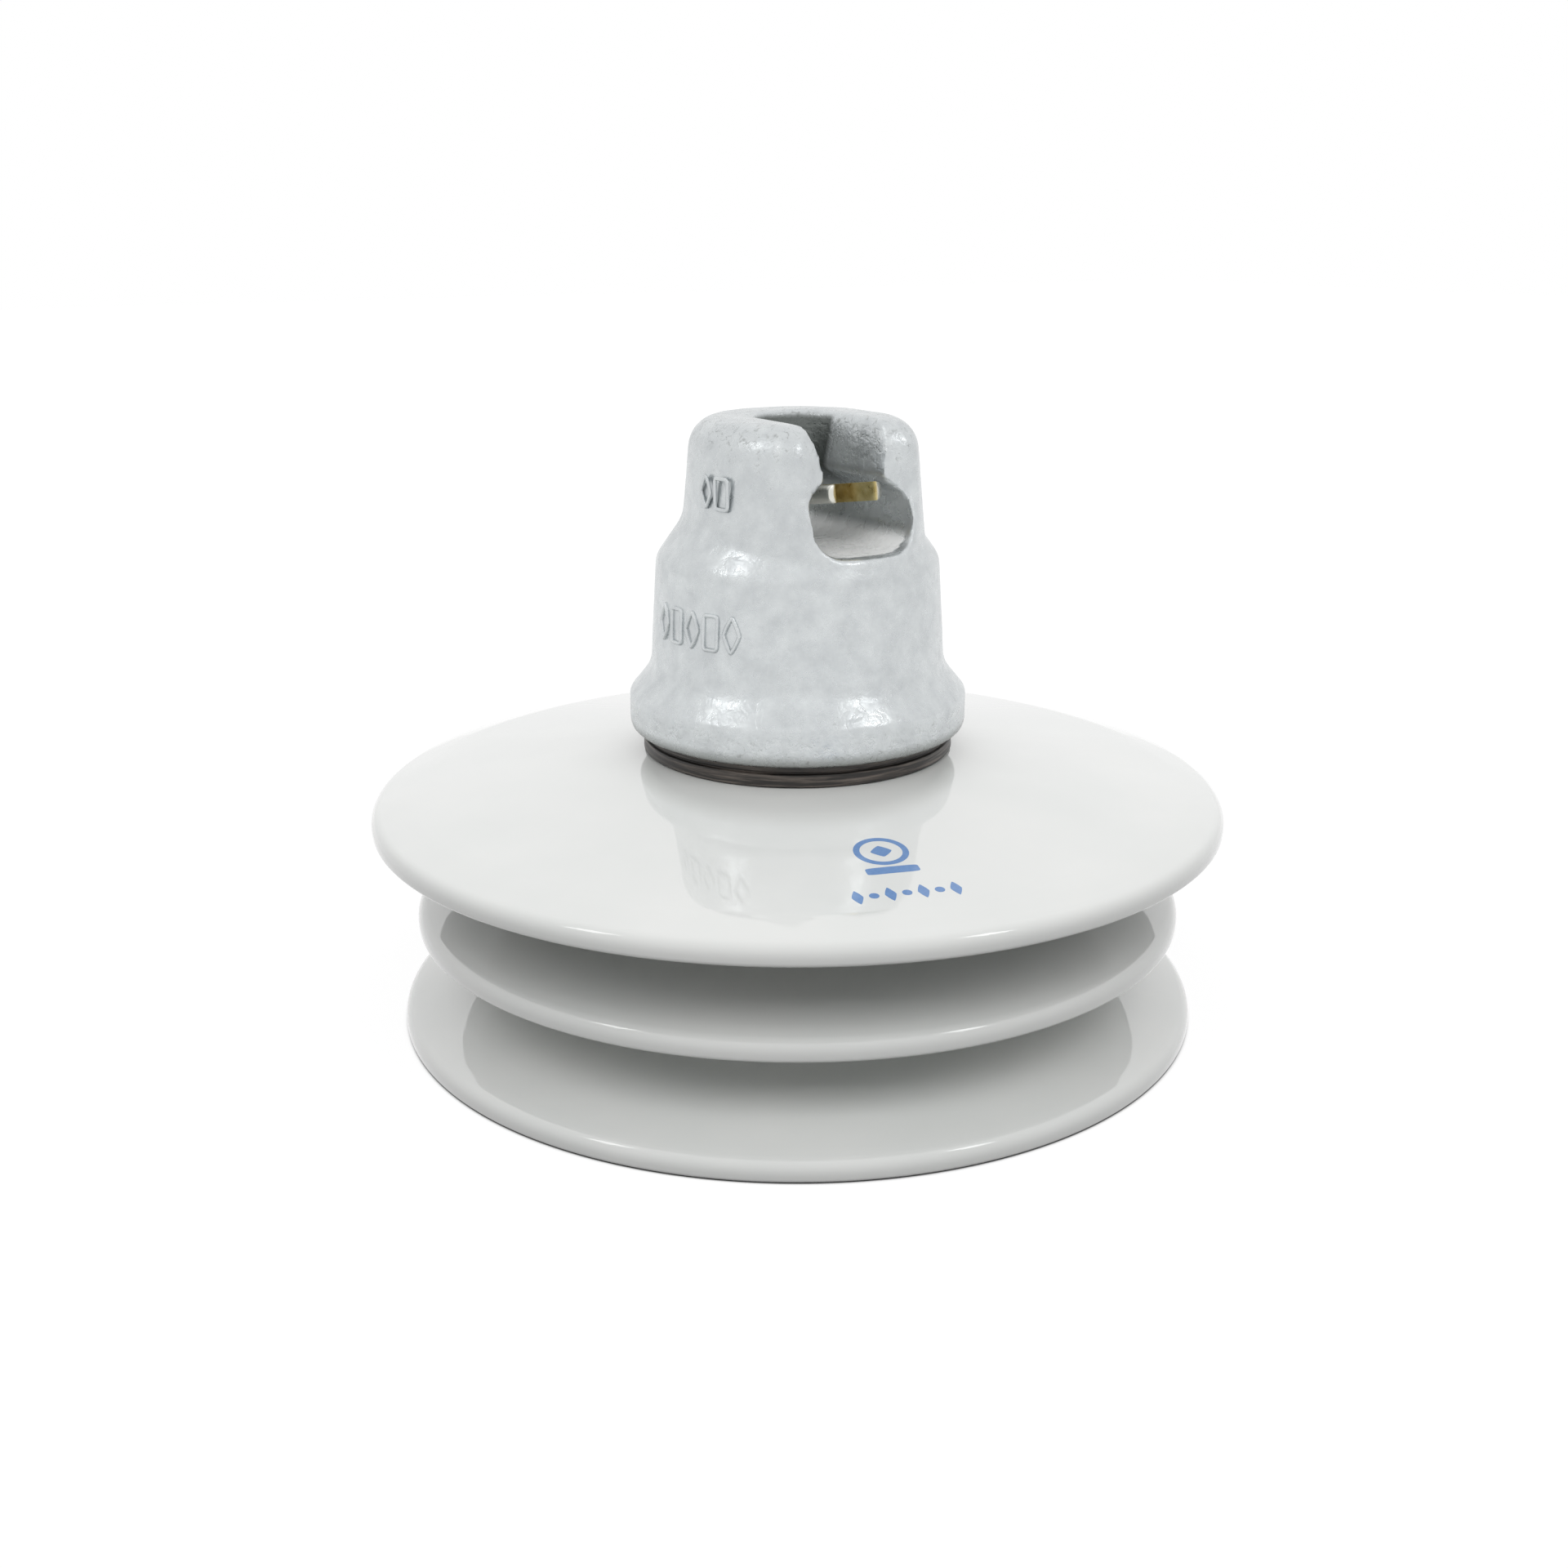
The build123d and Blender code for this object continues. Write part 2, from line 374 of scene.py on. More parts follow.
def glazedPorcelain():
    # electrical porcelain under a clear fired glaze: pale grey-white, mirror-like, faintly uneven
    material, tree, shader, where = newMaterial("glazed porcelain")
    cloud = addNode(tree, "ShaderNodeTexNoise", {"Scale": 1 / (60 * mm), "Detail": 3.0}, Vector=where)
    tone = twoTones(tree, cloud.outputs["Fac"], "e1e3e1", "e6e7e5", 0.35, 0.7)
    tree.links.new(tone, shader.inputs["Base Color"])
    shader.inputs["Roughness"].default_value = 0.05
    shader.inputs["IOR"].default_value = 1.5
    shader.inputs["Coat Weight"].default_value = 1.0
    shader.inputs["Coat Roughness"].default_value = 0.02
    shader.inputs["Coat IOR"].default_value = 1.55
    flow = addNode(tree, "ShaderNodeTexNoise", {"Scale": 1 / (14 * mm), "Detail": 2.0}, Vector=where)
    bump = addNode(tree, "ShaderNodeBump", {"Strength": 0.02, "Distance": 0.4 * mm},
                   Height=flow.outputs["Fac"])
    tree.links.new(bump.outputs[0], shader.inputs["Coat Normal"])
    return material


def galvanisedCasting():
    # hot-dip galvanised cast iron: the zinc is a pale, slightly cool grey, clouded where it ran, with
    # a rippled skin that breaks its highlights up; a fine crinkle and dark dross specks gather round
    # the crown and the rim; the foot is darkened, a painted shade; the back of the slot is dull and
    # dark, a painted shade; and the chamber's floor is painted nearly white and made less metallic, a
    # painted pool of light
    material, tree, shader, where = newMaterial("hot-dip galvanised cast iron")
    cloud = addNode(tree, "ShaderNodeTexNoise",
                    {"Scale": 1 / (9 * mm), "Detail": 8.0, "Roughness": 0.68}, Vector=where)
    tone = twoTones(tree, cloud.outputs["Fac"], "c6cacc", "dadedf", 0.3, 0.7)
    grain = addNode(tree, "ShaderNodeTexNoise",
                    {"Scale": 1 / (2.3 * mm), "Detail": 2.5, "Roughness": 0.55, "Distortion": 1.6},
                    Vector=where)
    ripple = addNode(tree, "ShaderNodeTexNoise",
                     {"Scale": 1 / (5.5 * mm), "Detail": 3.0, "Roughness": 0.55, "Distortion": 0.8},
                     Vector=where)
    height = addNode(tree, "ShaderNodeSeparateXYZ", i0=where)
    crown = addNode(tree, "ShaderNodeMapRange", {"From Min": 0.205, "From Max": 0.228},
                    Value=height.outputs["Z"])
    rim = addNode(tree, "ShaderNodeMapRange", {"From Min": 0.133, "From Max": 0.114},
                  Value=height.outputs["Z"])
    ends = addNode(tree, "ShaderNodeMath", {"operation": "MAXIMUM"}, i0=crown.outputs[0], i1=rim.outputs[0])
    most = addNode(tree, "ShaderNodeMath", {"operation": "MULTIPLY_ADD", 1: 0.13, 2: 0.57},
                   i0=ends.outputs[0])
    dross = addNode(tree, "ShaderNodeTexNoise",
                    {"Scale": 1 / (2.6 * mm), "Detail": 6.0, "Roughness": 0.72, "Distortion": 0.8},
                    Vector=where)
    under = addNode(tree, "ShaderNodeMath", {"operation": "SUBTRACT"},
                    i0=most.outputs[0], i1=dross.outputs["Fac"])
    speck = addNode(tree, "ShaderNodeMapRange",
                    {"From Min": 0.24, "From Max": 0.34, "To Max": 0.5}, Value=under.outputs[0])
    stained = addNode(tree, "ShaderNodeMix", {"data_type": "RGBA", 7: toLinear("80827f")},
                      i0=speck.outputs[0], i6=tone)
    # painted shade: the cap's foot is darkened over its last few millimetres
    foot = addNode(tree, "ShaderNodeMapRange", {"From Min": 0.1185, "From Max": 0.1125, "To Max": 0.95},
                   Value=height.outputs["Z"])
    footShadeMix = addNode(tree, "ShaderNodeMix", {"data_type": "RGBA", 7: toLinear("858783")},
                    i0=foot.outputs[0], i6=stained.outputs[2])
    # painted shade: the back of the slot and the walls round the seat are darkened towards a dark grey
    shaded = addNode(tree, "ShaderNodeAttribute", {"attribute_name": "paintedSlotShade"})
    slotShadeMix = addNode(tree, "ShaderNodeMix", {"data_type": "RGBA", 7: toLinear("686c6a")},
                    i0=shaded.outputs["Fac"], i6=footShadeMix.outputs[2])
    # painted pool of light: the chamber's floor is painted nearly white and made less metallic, so that it
    # reads as brightly lit
    floorLitShare = addNode(tree, "ShaderNodeAttribute", {"attribute_name": "paintedFloorLight"})
    pale = addNode(tree, "ShaderNodeMix", {"data_type": "RGBA", 7: toLinear("f2f3f2")},
                   i0=floorLitShare.outputs["Fac"], i6=slotShadeMix.outputs[2])
    tree.links.new(pale.outputs[2], shader.inputs["Base Color"])
    metal = addNode(tree, "ShaderNodeMapRange", {"To Min": 0.75, "To Max": 0.0}, Value=floorLitShare.outputs["Fac"])
    tree.links.new(metal.outputs[0], shader.inputs["Metallic"])
    rough = addNode(tree, "ShaderNodeMapRange",
                    {"From Min": 0.3, "From Max": 0.7, "To Min": 0.22, "To Max": 0.36},
                    Value=ripple.outputs["Fac"])
    tree.links.new(rough.outputs[0], shader.inputs["Roughness"])
    swell = addNode(tree, "ShaderNodeBump", {"Strength": 0.7, "Distance": 0.5 * mm},
                    Height=ripple.outputs["Fac"])
    keen = addNode(tree, "ShaderNodeMapRange", {"To Min": 0.25, "To Max": 0.75}, Value=ends.outputs[0])
    crinkle = addNode(tree, "ShaderNodeBump", {"Distance": 0.24 * mm}, Strength=keen.outputs[0],
                      Height=grain.outputs["Fac"], Normal=swell.outputs[0])
    tree.links.new(crinkle.outputs[0], shader.inputs["Normal"])
    return material


def bitumenPaint():
    # black-brown bitumen brushed round the cement: satin, with pale worn streaks along the turn
    material, tree, shader, where = newMaterial("brushed bitumen paint")
    streaks = addNode(tree, "ShaderNodeMapping",
                      {"Scale": (1 / (26 * mm), 1 / (26 * mm), 1 / (1.1 * mm))}, Vector=where)
    noise = addNode(tree, "ShaderNodeTexNoise", {"Scale": 1.0, "Detail": 4.0, "Roughness": 0.6},
                    Vector=streaks.outputs[0])
    tone = twoTones(tree, noise.outputs["Fac"], "1c1916", "827870", 0.45, 0.78)
    tree.links.new(tone, shader.inputs["Base Color"])
    shader.inputs["Roughness"].default_value = 0.42
    bump = addNode(tree, "ShaderNodeBump", {"Strength": 0.5, "Distance": 0.2 * mm},
                   Height=noise.outputs["Fac"])
    tree.links.new(bump.outputs[0], shader.inputs["Normal"])
    return material


def drawnBrass():
    # drawn brass wire: dull yellow-brown on the flat that faces the other leg, and a painted reflection
    # on the round side, painted pale, nearly silver as if it mirrored white surroundings
    material, tree, shader, where = newMaterial("brass with painted sheen")
    cloud = addNode(tree, "ShaderNodeTexNoise", {"Scale": 1 / (3 * mm), "Detail": 5.0}, Vector=where)
    tone = twoTones(tree, cloud.outputs["Fac"], "b3a168", "d0c18c", 0.35, 0.65)
    # painted reflection: the round side is painted pale silver
    roundSideSheen = addNode(tree, "ShaderNodeAttribute", {"attribute_name": "roundSideSheen"})
    cover = addNode(tree, "ShaderNodeMix", {"data_type": "RGBA", 7: toLinear("dddcd4")},
                    i0=roundSideSheen.outputs["Fac"], i6=tone)
    tree.links.new(cover.outputs[2], shader.inputs["Base Color"])
    shader.inputs["Metallic"].default_value = 0.85
    rough = addNode(tree, "ShaderNodeMapRange", {"To Min": 0.18, "To Max": 0.42}, Value=cloud.outputs["Fac"])
    tree.links.new(rough.outputs[0], shader.inputs["Roughness"])
    return material


def portlandCement():
    # set cement: matt grey with sand grains and small air holes
    material, tree, shader, where = newMaterial("portland cement")
    sand = addNode(tree, "ShaderNodeTexNoise", {"Scale": 1 / (1.2 * mm), "Detail": 5.0}, Vector=where)
    tone = twoTones(tree, sand.outputs["Fac"], "6f6c66", "a9a59d")
    tree.links.new(tone, shader.inputs["Base Color"])
    shader.inputs["Roughness"].default_value = 0.9
    bump = addNode(tree, "ShaderNodeBump", {"Strength": 0.6, "Distance": 0.3 * mm},
                   Height=sand.outputs["Fac"])
    tree.links.new(bump.outputs[0], shader.inputs["Normal"])
    return material


def pressedCork():
    # pressed cork board: brown grains a few millimetres across, matt
    material, tree, shader, where = newMaterial("pressed cork")
    grains = addNode(tree, "ShaderNodeTexVoronoi", {"Scale": 1 / (2.5 * mm)}, Vector=where)
    tone = twoTones(tree, grains.outputs["Distance"], "b98a58", "7a5330")
    tree.links.new(tone, shader.inputs["Base Color"])
    shader.inputs["Roughness"].default_value = 0.9
    return material


def mouldedRubber():
    # moulded black rubber: nearly black, with a dull bloom
    material, tree, shader, where = newMaterial("moulded rubber")
    bloom = addNode(tree, "ShaderNodeTexNoise", {"Scale": 1 / (6 * mm), "Detail": 3.0}, Vector=where)
    tone = twoTones(tree, bloom.outputs["Fac"], "1c1c1d", "303031")
    tree.links.new(tone, shader.inputs["Base Color"])
    shader.inputs["Roughness"].default_value = 0.7
    return material


def printedBlue():
    # ceramic ink fired under the glaze: mid blue, slightly uneven cover
    material, tree, shader, where = newMaterial("fired blue ink")
    cover = addNode(tree, "ShaderNodeTexNoise", {"Scale": 1 / (1.5 * mm), "Detail": 3.0}, Vector=where)
    tone = twoTones(tree, cover.outputs["Fac"], "3f73b4", "5a8cc6")
    tree.links.new(tone, shader.inputs["Base Color"])
    shader.inputs["Roughness"].default_value = 0.35
    shader.inputs["Coat Weight"].default_value = 1.0
    shader.inputs["Coat Roughness"].default_value = 0.03
    return material


porcelain, zincedIron, bitumen, brass = glazedPorcelain(), galvanisedCasting(), bitumenPaint(), drawnBrass()
cement, blueInk, cork, rubber = portlandCement(), printedBlue(), pressedCork(), mouldedRubber()
print("stage: materials")


shell = {
    "rimRadius": (157.0, 150.0, 165.0), "rimFoot": (0.0, 39.9, 80.0), "rimHeight": 7.0, "rimWidth": 16.0,
    "rimDrop": 4.1, "rimTopRound": 5.2, "rimFootRound": 1.5, "footWidth": 8.5, "headRadius": 42.0,
    "headTop": 170.5, "holeRadius": 27.5, "holeTop": 156.5, "holeMouth": 92.0, "lowerNeck": 95.0,
    "upperNeck": 88.0, "step": 1.2, "longStep": 6.0, "segments": 300,
}


def shedCorners(s, index, rootAbove, rootBelow):
    # the corners of one shed, from its upper root round its rim to its lower root
    outer, foot = s["rimRadius"][index], s["rimFoot"][index]
    return [rootAbove, (outer - s["rimWidth"], foot + s["rimHeight"] + s["rimDrop"], 60),
            (outer, foot + s["rimHeight"], s["rimTopRound"]), (outer, foot, s["rimFootRound"]),
            (outer - s["footWidth"], foot, 8), rootBelow]


def shellOutline(s):
    corners = [(0, s["headTop"], 0), (s["headRadius"], s["headTop"], 9)]
    corners += shedCorners(s, 2, (s["headRadius"] + 1, 106.8, 9), (s["upperNeck"], 86.5, 9))
    corners += shedCorners(s, 1, (s["upperNeck"], 64, 9), (s["lowerNeck"], 46, 8))
    corners += shedCorners(s, 0, (s["lowerNeck"], 23.5, 8), (104, 8.5, 60))
    corners += [(80, 17, 22), (66, 62, 40), (57, 86.5, 9), (s["holeRadius"] + 4, 88.5, 3)]
    corners += [(s["holeRadius"], s["holeMouth"], 3), (s["holeRadius"], s["holeTop"], 12)]
    corners += [(0, s["holeTop"], 0)]
    return evenly(roundedOutline(corners, s["step"]), s["longStep"])


def makeShell(s):
    # the head, sheds and bell: one outline of straight runs and arcs, turned about Z
    mesh = latheMesh("shedShell", shellOutline(s), s["segments"])
    piece = addPiece("shedShell", mesh, porcelain)
    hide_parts("porcelain_shell")


makeShell(shell)
print("stage: porcelain shell")


castCap = {
    "top": 231.6, "crownRadius": 40.0, "crownRound": 12.5, "neckRadius": 43.4, "neckFoot": 194.0,
    "shoulderRadius": 54.0, "shoulder": 179.0, "bodyRadius": 56.6, "bodyFoot": 137.7, "rimRadius": 65.2,
    "rimTop": 127.2, "foot": 112.4, "ceiling": 176.5, "mouthReach": 8.0, "mouthSlimmer": 0.4,
    "slotHalf": 12.0, "slotTaper": 4.5, "seat": 211.0, "seatDrop": 6.5, "chamberHalf": 21.5,
    "chamberFloor": 185.5, "chamberRound": 11.0, "toolReach": 80.0,
    "pinHole": 3.9, "pinTilt": 8.5, "pinStart": (49.5, 193.8), "pinHoleLength": 80.0,
    "segments": 240, "step": 1.0, "longStep": 3.0, "dense": 0.5, "voxel": 1.09, "evenOut": 3,
    "easeReach": 6.0, "easeGain": 2.2, "easeTurns": 24,
    "jawFrom": 197.0, "jawOver": 12.0, "jawHalf": 29.0, "jawDepth": 9.0,
    # the next keys place the slot's painted shade and the chamber floor's painted pool of light
    "spaceNear": 2.5, "spaceWithin": 46.0, "backFrom": -1.5, "backOver": 3.0, "crownFrom": 231.0,
    "crownOver": 2.0, "seatFrom": 201.0, "seatOver": 9.0, "seatShade": 0.3, "floorLightDeep": 7.0, "floorLightOver": 4.0,
    "waveGrain": 19.0, "waveDepth": 0.16, "dentGrain": 6.0, "dentDepth": 0.07,
}


def capProfile(c):
    # the cap's outside from the axis at its top down to its foot
    return roundedOutline([
        (0, c["top"], 0), (c["crownRadius"], c["top"], c["crownRound"]), (c["neckRadius"], c["neckFoot"], 14),
        (c["shoulderRadius"], c["shoulder"], 9), (c["bodyRadius"], c["bodyFoot"], 14),
        (c["rimRadius"], c["rimTop"], 2.5), (c["rimRadius"], c["foot"], 4.5), (55, c["foot"], 0)], c["step"])


def cavityProfile(c):
    # the space for the head, from the cap's foot up to its ceiling, with the two ledges
    return roundedOutline([
        (55, c["foot"], 0), (57, 124, 4), (49.5, 138, 4), (46.5, 148, 0), (48.5, 151, 0), (46, 160, 0),
        (48, 163, 0), (46.5, c["ceiling"], 9), (0, c["ceiling"], 0)], c["step"])


def mouthProfile(c):
    # the neck again, a little slimmer, for the stretch that stands out round the slot
    crown, neck = c["crownRadius"] - c["mouthSlimmer"], c["neckRadius"] - c["mouthSlimmer"]
    return roundedOutline([
        (0, c["top"], 0), (crown, c["top"], c["crownRound"]), (neck, c["neckFoot"], 60),
        (neck + 1.5, 178, 0), (0, 178, 0)], c["step"])


def spaceProfile(c):
    # half the width of the ball's chamber, the seat and the slot above it
    return roundedOutline([
        (0, c["chamberFloor"], 0), (c["chamberHalf"], c["chamberFloor"], c["chamberRound"]),
        (c["chamberHalf"], c["seat"] - c["seatDrop"], 4), (c["slotHalf"], c["seat"], 3),
        (c["slotHalf"] + c["slotTaper"], c["top"] + 1, 0), (0, c["top"] + 1, 0)], c["step"])


def pinHoleMesh(c):
    # a closed tube about the line of the split pin, which rises towards the slot
    tilt, half = radians(c["pinTilt"]), c["pinHoleLength"] / 2
    angle = np.linspace(0, 2 * pi, 48, endpoint=False)[:, None]
    radius, along = np.array([[0, 1, 1, 0]]) * c["pinHole"], np.array([[-half, -half, half, half]])
    side, up = radius * np.cos(angle), radius * np.sin(angle)
    y = c["pinStart"][0] - along * cos(tilt) + up * sin(tilt)
    z = c["pinStart"][1] + along * sin(tilt) + up * cos(tilt)
    mesh = gridMesh("pinHole", np.stack([side, y, z], -1) * mm, wrapU=True)
    mergeAndTurnOut(mesh)
    return mesh


def jawsDrawnIn(points, c):
    # above the chamber's seat the neck rolls in towards the slot: points in front are drawn back
    # along Y, most at the slot and less with their distance from it
    rise = np.clip((points[:, 2] - c["jawFrom"]) / c["jawOver"], 0, 1)
    near = np.clip((c["jawHalf"] - np.abs(points[:, 0])) / (c["jawHalf"] - c["slotHalf"]), 0, 1)
    out = np.clip(-points[:, 1] / c["neckRadius"], 0, 1)
    share = rise * rise * (3 - 2 * rise) * near * near * (3 - 2 * near) * out
    return points + np.outer(share * c["jawDepth"], (0, 1, 0))


def slotTones(points, fromSlot, c):
    # two shares of painted light for the zinc inside the slot and the chamber: the painted shade grows
    # behind the Z axis, is full over the seat and fades out at the crown, and the painted pool of light
    # is full on the chamber's floor
    height, turned = points[:, 2], np.hypot(points[:, 0], points[:, 1])
    inside = np.clip(c["spaceNear"] - fromSlot, 0, 1) * (turned < c["spaceWithin"])
    paintedSlotShade = inside * np.clip((points[:, 1] - c["backFrom"]) / c["backOver"], 0, 1)
    paintedSlotShade *= np.clip((c["crownFrom"] - height) / c["crownOver"], 0, 1)
    paintedSlotShade *= np.clip((height - c["seatFrom"]) / c["seatOver"], c["seatShade"], 1)
    # painted pool of light: full on the chamber's floor and fading out a few millimetres above it
    floorLightShare = np.clip((c["chamberFloor"] + c["floorLightDeep"] - height) / c["floorLightOver"], 0, 1)
    return paintedSlotShade, inside * floorLightShare * (height > c["ceiling"] + c["floorLightOver"])


def makeCap(c):
    # turned solids are joined and cut, the whole is remeshed as one skin, the edges of the openings
    # are eased where that skin is near both the outside and the slot, the jaws are drawn in, and the
    # skin gets the slight waves and dents of a casting, only ever inwards
    outside, space, mouth = (evenly(line(c), c["longStep"])
                             for line in (capProfile, spaceProfile, mouthProfile))
    solid = np.concatenate([outside, evenly(cavityProfile(c), c["longStep"])[1:]])
    piece = addPiece("castCap", latheMesh("castCap", solid, c["segments"]), zincedIron)
    combine(piece, stadiumMesh("mouth", mouth, c["segments"], c["mouthReach"]), "UNION")
    combine(piece, stadiumMesh("space", space, c["segments"], c["toolReach"]), "DIFFERENCE")
    combine(piece, pinHoleMesh(c), "DIFFERENCE")
    skin = piece.modifiers.new("skin", "REMESH")
    skin.mode, skin.voxel_size, skin.use_smooth_shade = "VOXEL", c["voxel"] * mm, True
    ease = piece.modifiers.new("even out", "SMOOTH")
    ease.factor, ease.iterations = 0.5, c["evenOut"]
    points = getPoints(applyModifiers(piece)) / mm
    turned, height = np.hypot(points[:, 0], points[:, 1]), points[:, 2]
    fromBody = distanceToOutline(turned, height, evenly(outside, c["dense"]))
    fromMouth = distanceToOutline(stadiumRadius(points, c["mouthReach"]), height, evenly(mouth, c["dense"]))
    fromMouth = np.where(points[:, 1] < 0, fromMouth, np.inf)
    fromSlot = distanceToOutline(stadiumRadius(points, c["toolReach"]), height, evenly(space, c["dense"]))
    reach = c["easeReach"]
    edge = np.clip(1 - np.minimum(fromBody, fromMouth) / reach, 0, 1) * np.clip(1 - fromSlot / reach, 0, 1)
    crease = np.clip(1 - fromBody / reach, 0, 1) * np.clip(1 - fromMouth / reach, 0, 1)
    crease *= height < c["neckFoot"]
    softness = np.clip(c["easeGain"] * np.maximum(edge, crease), 0, 1)
    # per point shares of the slot's painted shade and of the chamber floor's painted pool of light
    paintedSlotShade, paintedFloorLight = slotTones(points, fromSlot, c)
    group = piece.vertex_groups.new(name="edges")
    for level in np.arange(1, 11):
        chosen = np.flatnonzero(np.round(softness * 10).astype(int) == level)
        if len(chosen):
            group.add(chosen.tolist(), level / 10, "REPLACE")
    ease = piece.modifiers.new("eased edges", "SMOOTH")
    ease.factor, ease.iterations, ease.vertex_group = 0.5, c["easeTurns"], "edges"
    mesh = applyModifiers(piece)
    piece.vertex_groups.clear()
    setPoints(mesh, jawsDrawnIn(getPoints(mesh) / mm, c) * mm)
    points = getPoints(mesh)
    wave = c["waveDepth"] * (latticeNoise(points / mm, c["waveGrain"], 3) - 1)
    wave += c["dentDepth"] * (latticeNoise(points / mm, c["dentGrain"], 4) - 1)
    setPoints(mesh, points + getNormals(mesh) * wave[:, None] * mm)
    # the painted shade and the painted pool of light are kept as point attributes
    for name, value in (("paintedSlotShade", paintedSlotShade), ("paintedFloorLight", paintedFloorLight)):
        mesh.attributes.new(name, "FLOAT", "POINT").data.foreach_set("value", value)
    mesh.materials.clear()
    mesh.materials.append(zincedIron)
    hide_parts("cap")


makeCap(castCap)
print("stage: cap")


collar = {
    "radius": 60.2, "upperRadius": 59.2, "grooveRadius": 58.2, "groove": 109.9, "grooveHalf": 0.45,
    "padTop": 173.5, "padRadius": 29.0, "headTop": 170.5, "headRadius": 42.0, "headChamfer": 9.0,
    "footDeep": 12.0, "footShallow": 1.0, "gap": 0.15, "brushing": 0.07, "segments": 360,
}


def makeCollar(c, cap, s):
    # the cement's outline: up inside the cap's space, over the head, and down to the collar, whose
    # lower tier stands proud of the upper one with a groove between them
    cavity = cavityProfile(cap)[::-1] - (c["gap"], 0)
    shed = shellOutline(s)
    below = cap["foot"] - shed[:, 1]
    shed = shed[(shed[:, 0] > c["headRadius"]) & (shed[:, 0] < c["radius"])
                & (below > c["footShallow"]) & (below < c["footDeep"])]
    shed = shed[np.argsort(-shed[:, 0])]
    groove, half = c["groove"], c["grooveHalf"]
    foot = np.interp(c["radius"], shed[::-1, 0], shed[::-1, 1])
    tiers = roundedOutline([
        (56, cap["foot"] + 0.4, 0), (c["upperRadius"], cap["foot"] - 0.1, 0.3),
        (c["upperRadius"], groove + half, 0.3),
        (c["grooveRadius"], groove, 0.3), (c["radius"] - 0.2, groove - half, 0.5),
        (c["radius"], foot + 0.3, 0.4), (c["radius"] - 0.6, foot, 0)], 0.25)
    under = np.array([(c["headRadius"], c["headTop"] - c["headChamfer"]),
                      (c["headRadius"] - c["headChamfer"], c["headTop"]),
                      (c["padRadius"], c["headTop"]), (c["padRadius"], c["padTop"]), (0, c["padTop"])])
    cavity[:, 0] = np.maximum(cavity[:, 0], 0)
    outline = np.concatenate([[(0, cavity[0, 1])], cavity[1:], tiers, shed, under])

    def brushed(angle, radius, height):
        # the paint's slight unevenness: slow swells round the collar that differ between its tiers
        swell = np.sin(3 * angle + height) + 0.6 * np.sin(7 * angle - 2 * height)
        swell = swell + 0.4 * np.sin(19 * angle + height)
        return -c["brushing"] * (swell + 2) * (radius > c["grooveRadius"] - 0.5)

    mesh = latheMesh("cementCollar", outline, c["segments"], brushed)
    piece = addPiece("cementCollar", mesh, bitumen)
    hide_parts("cap_cement")


makeCollar(collar, castCap, shell)
print("stage: cement collar")


castMarks = {
    "side": -77.0, "stroke": 0.8, "sink": 0.3, "around": 96, "section": 12,
    "lowest": 133.7, "highest": 218.6, "neckLowest": 179.5,
    "neck": {"height": 206.8, "lift": 0.65, "width": 6.6, "tall": 11.0, "pitch": 9.4,
             "roundness": (1.2, 7.0)},
    "body": {"height": 158.6, "lift": 1.0, "width": 6.2, "tall": 12.5, "pitch": 9.0,
             "roundness": (1.2, 7.0, 1.2, 7.0, 1.2)},
}


def superellipse(width, tall, roundness, count):
    # a closed line: a lozenge at roundness 1.2, an ellipse at 2 and a box at 7
    turn = np.linspace(0, 2 * pi, count, endpoint=False)
    power = 2 / roundness
    return np.stack([width / 2 * np.sign(np.cos(turn)) * np.abs(np.cos(turn)) ** power,
                     tall / 2 * np.sign(np.sin(turn)) * np.abs(np.sin(turn)) ** power], -1)


def standing(height, angle, profile, mouth, reach):
    # the cap's radius at a height and an angle from the slot: the plain turned one or, where it
    # stands out further, the neck carried forward: a flat side at R / sin a, then an arc round a
    # centre moved forward by the reach, reach cos a + sqrt(R^2 - (reach sin a)^2)
    plain = np.interp(height, profile[::-1, 1], profile[::-1, 0])
    carried = np.interp(height, mouth[::-1, 1], mouth[::-1, 0], left=0)
    side = carried / np.abs(np.sin(angle))
    front = reach * np.cos(angle) + np.sqrt(np.maximum(carried ** 2 - (reach * np.sin(angle)) ** 2, 0))
    return np.maximum(plain, np.where(side * np.cos(angle) <= reach, side, front) * (carried > 0))


def raisedLine(line, m, profile, mouth, reach, row, shift):
    # a flattened round section carried along a closed line, laid on the cap: across is an arc length
    # round the cap, up is height, and lift sin(turn) - sink is added to the cap's radius there
    ahead = np.roll(line, -1, 0) - np.roll(line, 1, 0)
    ahead /= np.hypot(*ahead.T)[:, None]
    aside = np.stack([ahead[:, 1], -ahead[:, 0]], -1)
    turn = np.linspace(0, 2 * pi, m["section"], endpoint=False)
    flat = line[:, None, :] + aside[:, None, :] * (m["stroke"] * np.cos(turn))[None, :, None]
    out = row["lift"] * np.sin(turn)[None, :] - m["sink"] + 0 * flat[..., 0]
    height = row["height"] + flat[..., 1]
    plain = np.interp(height, profile[::-1, 1], profile[::-1, 0])
    angle = radians(m["side"]) + (flat[..., 0] + shift) / plain
    radius = standing(height, angle, profile, mouth, reach)
    return np.stack([(radius + out) * np.sin(angle), -(radius + out) * np.cos(angle), height], -1)


